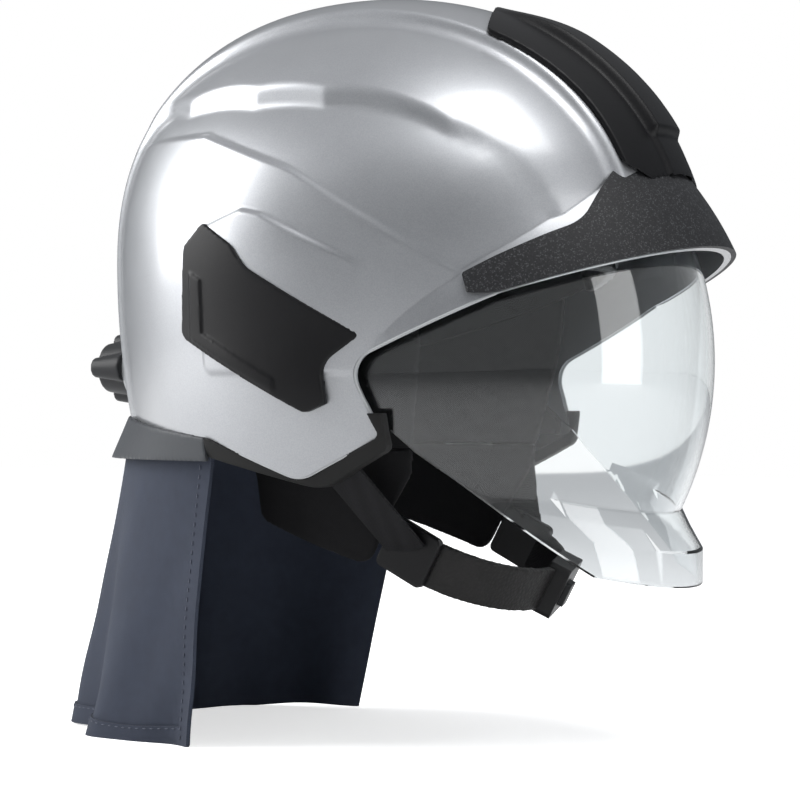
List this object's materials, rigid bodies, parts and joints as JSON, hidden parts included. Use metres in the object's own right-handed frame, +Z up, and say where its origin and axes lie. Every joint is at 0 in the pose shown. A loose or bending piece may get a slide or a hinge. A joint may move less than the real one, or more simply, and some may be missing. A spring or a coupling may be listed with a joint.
{
  "type": "fire helmet",
  "caption": "Jet style fire helmet with a pivoting clear face shield, crested silver shell, nape size knob, chin strap and neck curtain.",
  "frame": {"origin": "centre of the wearer's head on the mid plane, at the height of the visor hinge", "axes": "-Y is forwards (the way the face looks), +Z is up, -X is the wearer's right"},
  "size_m": [0.2528, 0.3383, 0.355],
  "materials": {
    "shell_silver": "glossy silver pearl lacquer",
    "cover_black": "matte black moulded covers",
    "brow_charcoal": "fine grained charcoal brow guard",
    "guard_grey": "matte grey nape guard",
    "edge_rubber": "black rubber edging and stops",
    "visor_clear": "clear polycarbonate visor",
    "mechanism_plastic": "dark grey moulded nylon",
    "ring_light": "light grey ring",
    "screw_steel": "zinc plated steel",
    "liner_foam": "black energy absorbing foam",
    "lining_textile": "black flame resistant textile",
    "curtain_cloth": "navy flame resistant woven cloth",
    "pad_leather": "black leather covered pads",
    "strap_webbing": "black woven webbing"
  },
  "bodies": {
    "helmet": {"outer_shell": "shell_silver", "front_cap": "cover_black", "side_plate_right": "cover_black", "side_plate_left": "cover_black", "brow_trim": "brow_charcoal", "nape_guard": "guard_grey", "edge_trim_right": "edge_rubber", "edge_trim_left": "edge_rubber", "visor_buffer_right": "edge_rubber", "visor_buffer_left": "edge_rubber", "pivot_bracket_right": "mechanism_plastic", "pivot_bracket_left": "mechanism_plastic", "hanger_right": "mechanism_plastic", "hanger_left": "mechanism_plastic", "hanger_front": "mechanism_plastic", "hanger_rear": "mechanism_plastic", "nape_cradle": "mechanism_plastic", "rack_cover": "mechanism_plastic", "knob_bush": "mechanism_plastic", "strap_anchor_right": "mechanism_plastic", "strap_anchor_left": "mechanism_plastic", "strap_slider_right": "mechanism_plastic", "strap_slider_left": "mechanism_plastic", "buckle_housing": "mechanism_plastic", "buckle_tongue": "mechanism_plastic", "curtain_rail": "mechanism_plastic", "headband": "mechanism_plastic", "pivot_screw_right": "screw_steel", "pivot_screw_left": "screw_steel", "impact_liner": "liner_foam", "temple_lining_right": "lining_textile", "temple_lining_left": "lining_textile", "neck_band_right": "lining_textile", "neck_band_left": "lining_textile", "crown_pad": "lining_textile", "neck_curtain": "curtain_cloth", "brow_pad": "pad_leather", "nape_pad": "pad_leather", "chin_pad": "pad_leather", "crown_strap_across": "strap_webbing", "crown_strap_along": "strap_webbing", "side_strap_right": "strap_webbing", "side_strap_left": "strap_webbing", "chin_strap": "strap_webbing"},
    "visor": {"face_shield": "visor_clear", "visor_hub_right": "mechanism_plastic", "visor_hub_left": "mechanism_plastic"},
    "knob": {"pinion_shaft": "mechanism_plastic", "knob_foot": "mechanism_plastic", "knob_ring": "ring_light", "size_knob": "mechanism_plastic"},
    "left_rack": {"rack_left": "mechanism_plastic"},
    "right_rack": {"rack_right": "mechanism_plastic"},
    "button": {"release_button": "mechanism_plastic"}
  },
  "joints": [
    {"name": "visor_hinge", "type": "hinge", "parent": "helmet", "child": "visor", "pos_m": [0, 0.014, 0.002], "axis": [-1, 0, 0], "range_deg": [0, 44]},
    {"name": "knob_turn", "type": "hinge", "parent": "helmet", "child": "knob", "pos_m": [0, 0.15, 0.0006], "axis": [0, 1, 0], "range_deg": [-80, 80]},
    {"name": "rack_left_slide", "type": "slide", "parent": "helmet", "child": "left_rack", "axis": [1, 0, 0], "range_m": [-0.0105, 0.0105]},
    {"name": "rack_right_slide", "type": "slide", "parent": "helmet", "child": "right_rack", "axis": [1, 0, 0], "range_m": [-0.0105, 0.0105]},
    {"name": "button_press", "type": "slide", "parent": "helmet", "child": "button", "axis": [-0.249, 0.8575, 0.4502], "range_m": [0, 0.0025], "stiffness_N_per_m": 400}
  ],
  "couplings": [
    {"joint": "rack_left_slide", "follows": "knob_turn", "m_per_rad": 0.0075},
    {"joint": "rack_right_slide", "follows": "knob_turn", "m_per_rad": -0.0075}
  ]
}
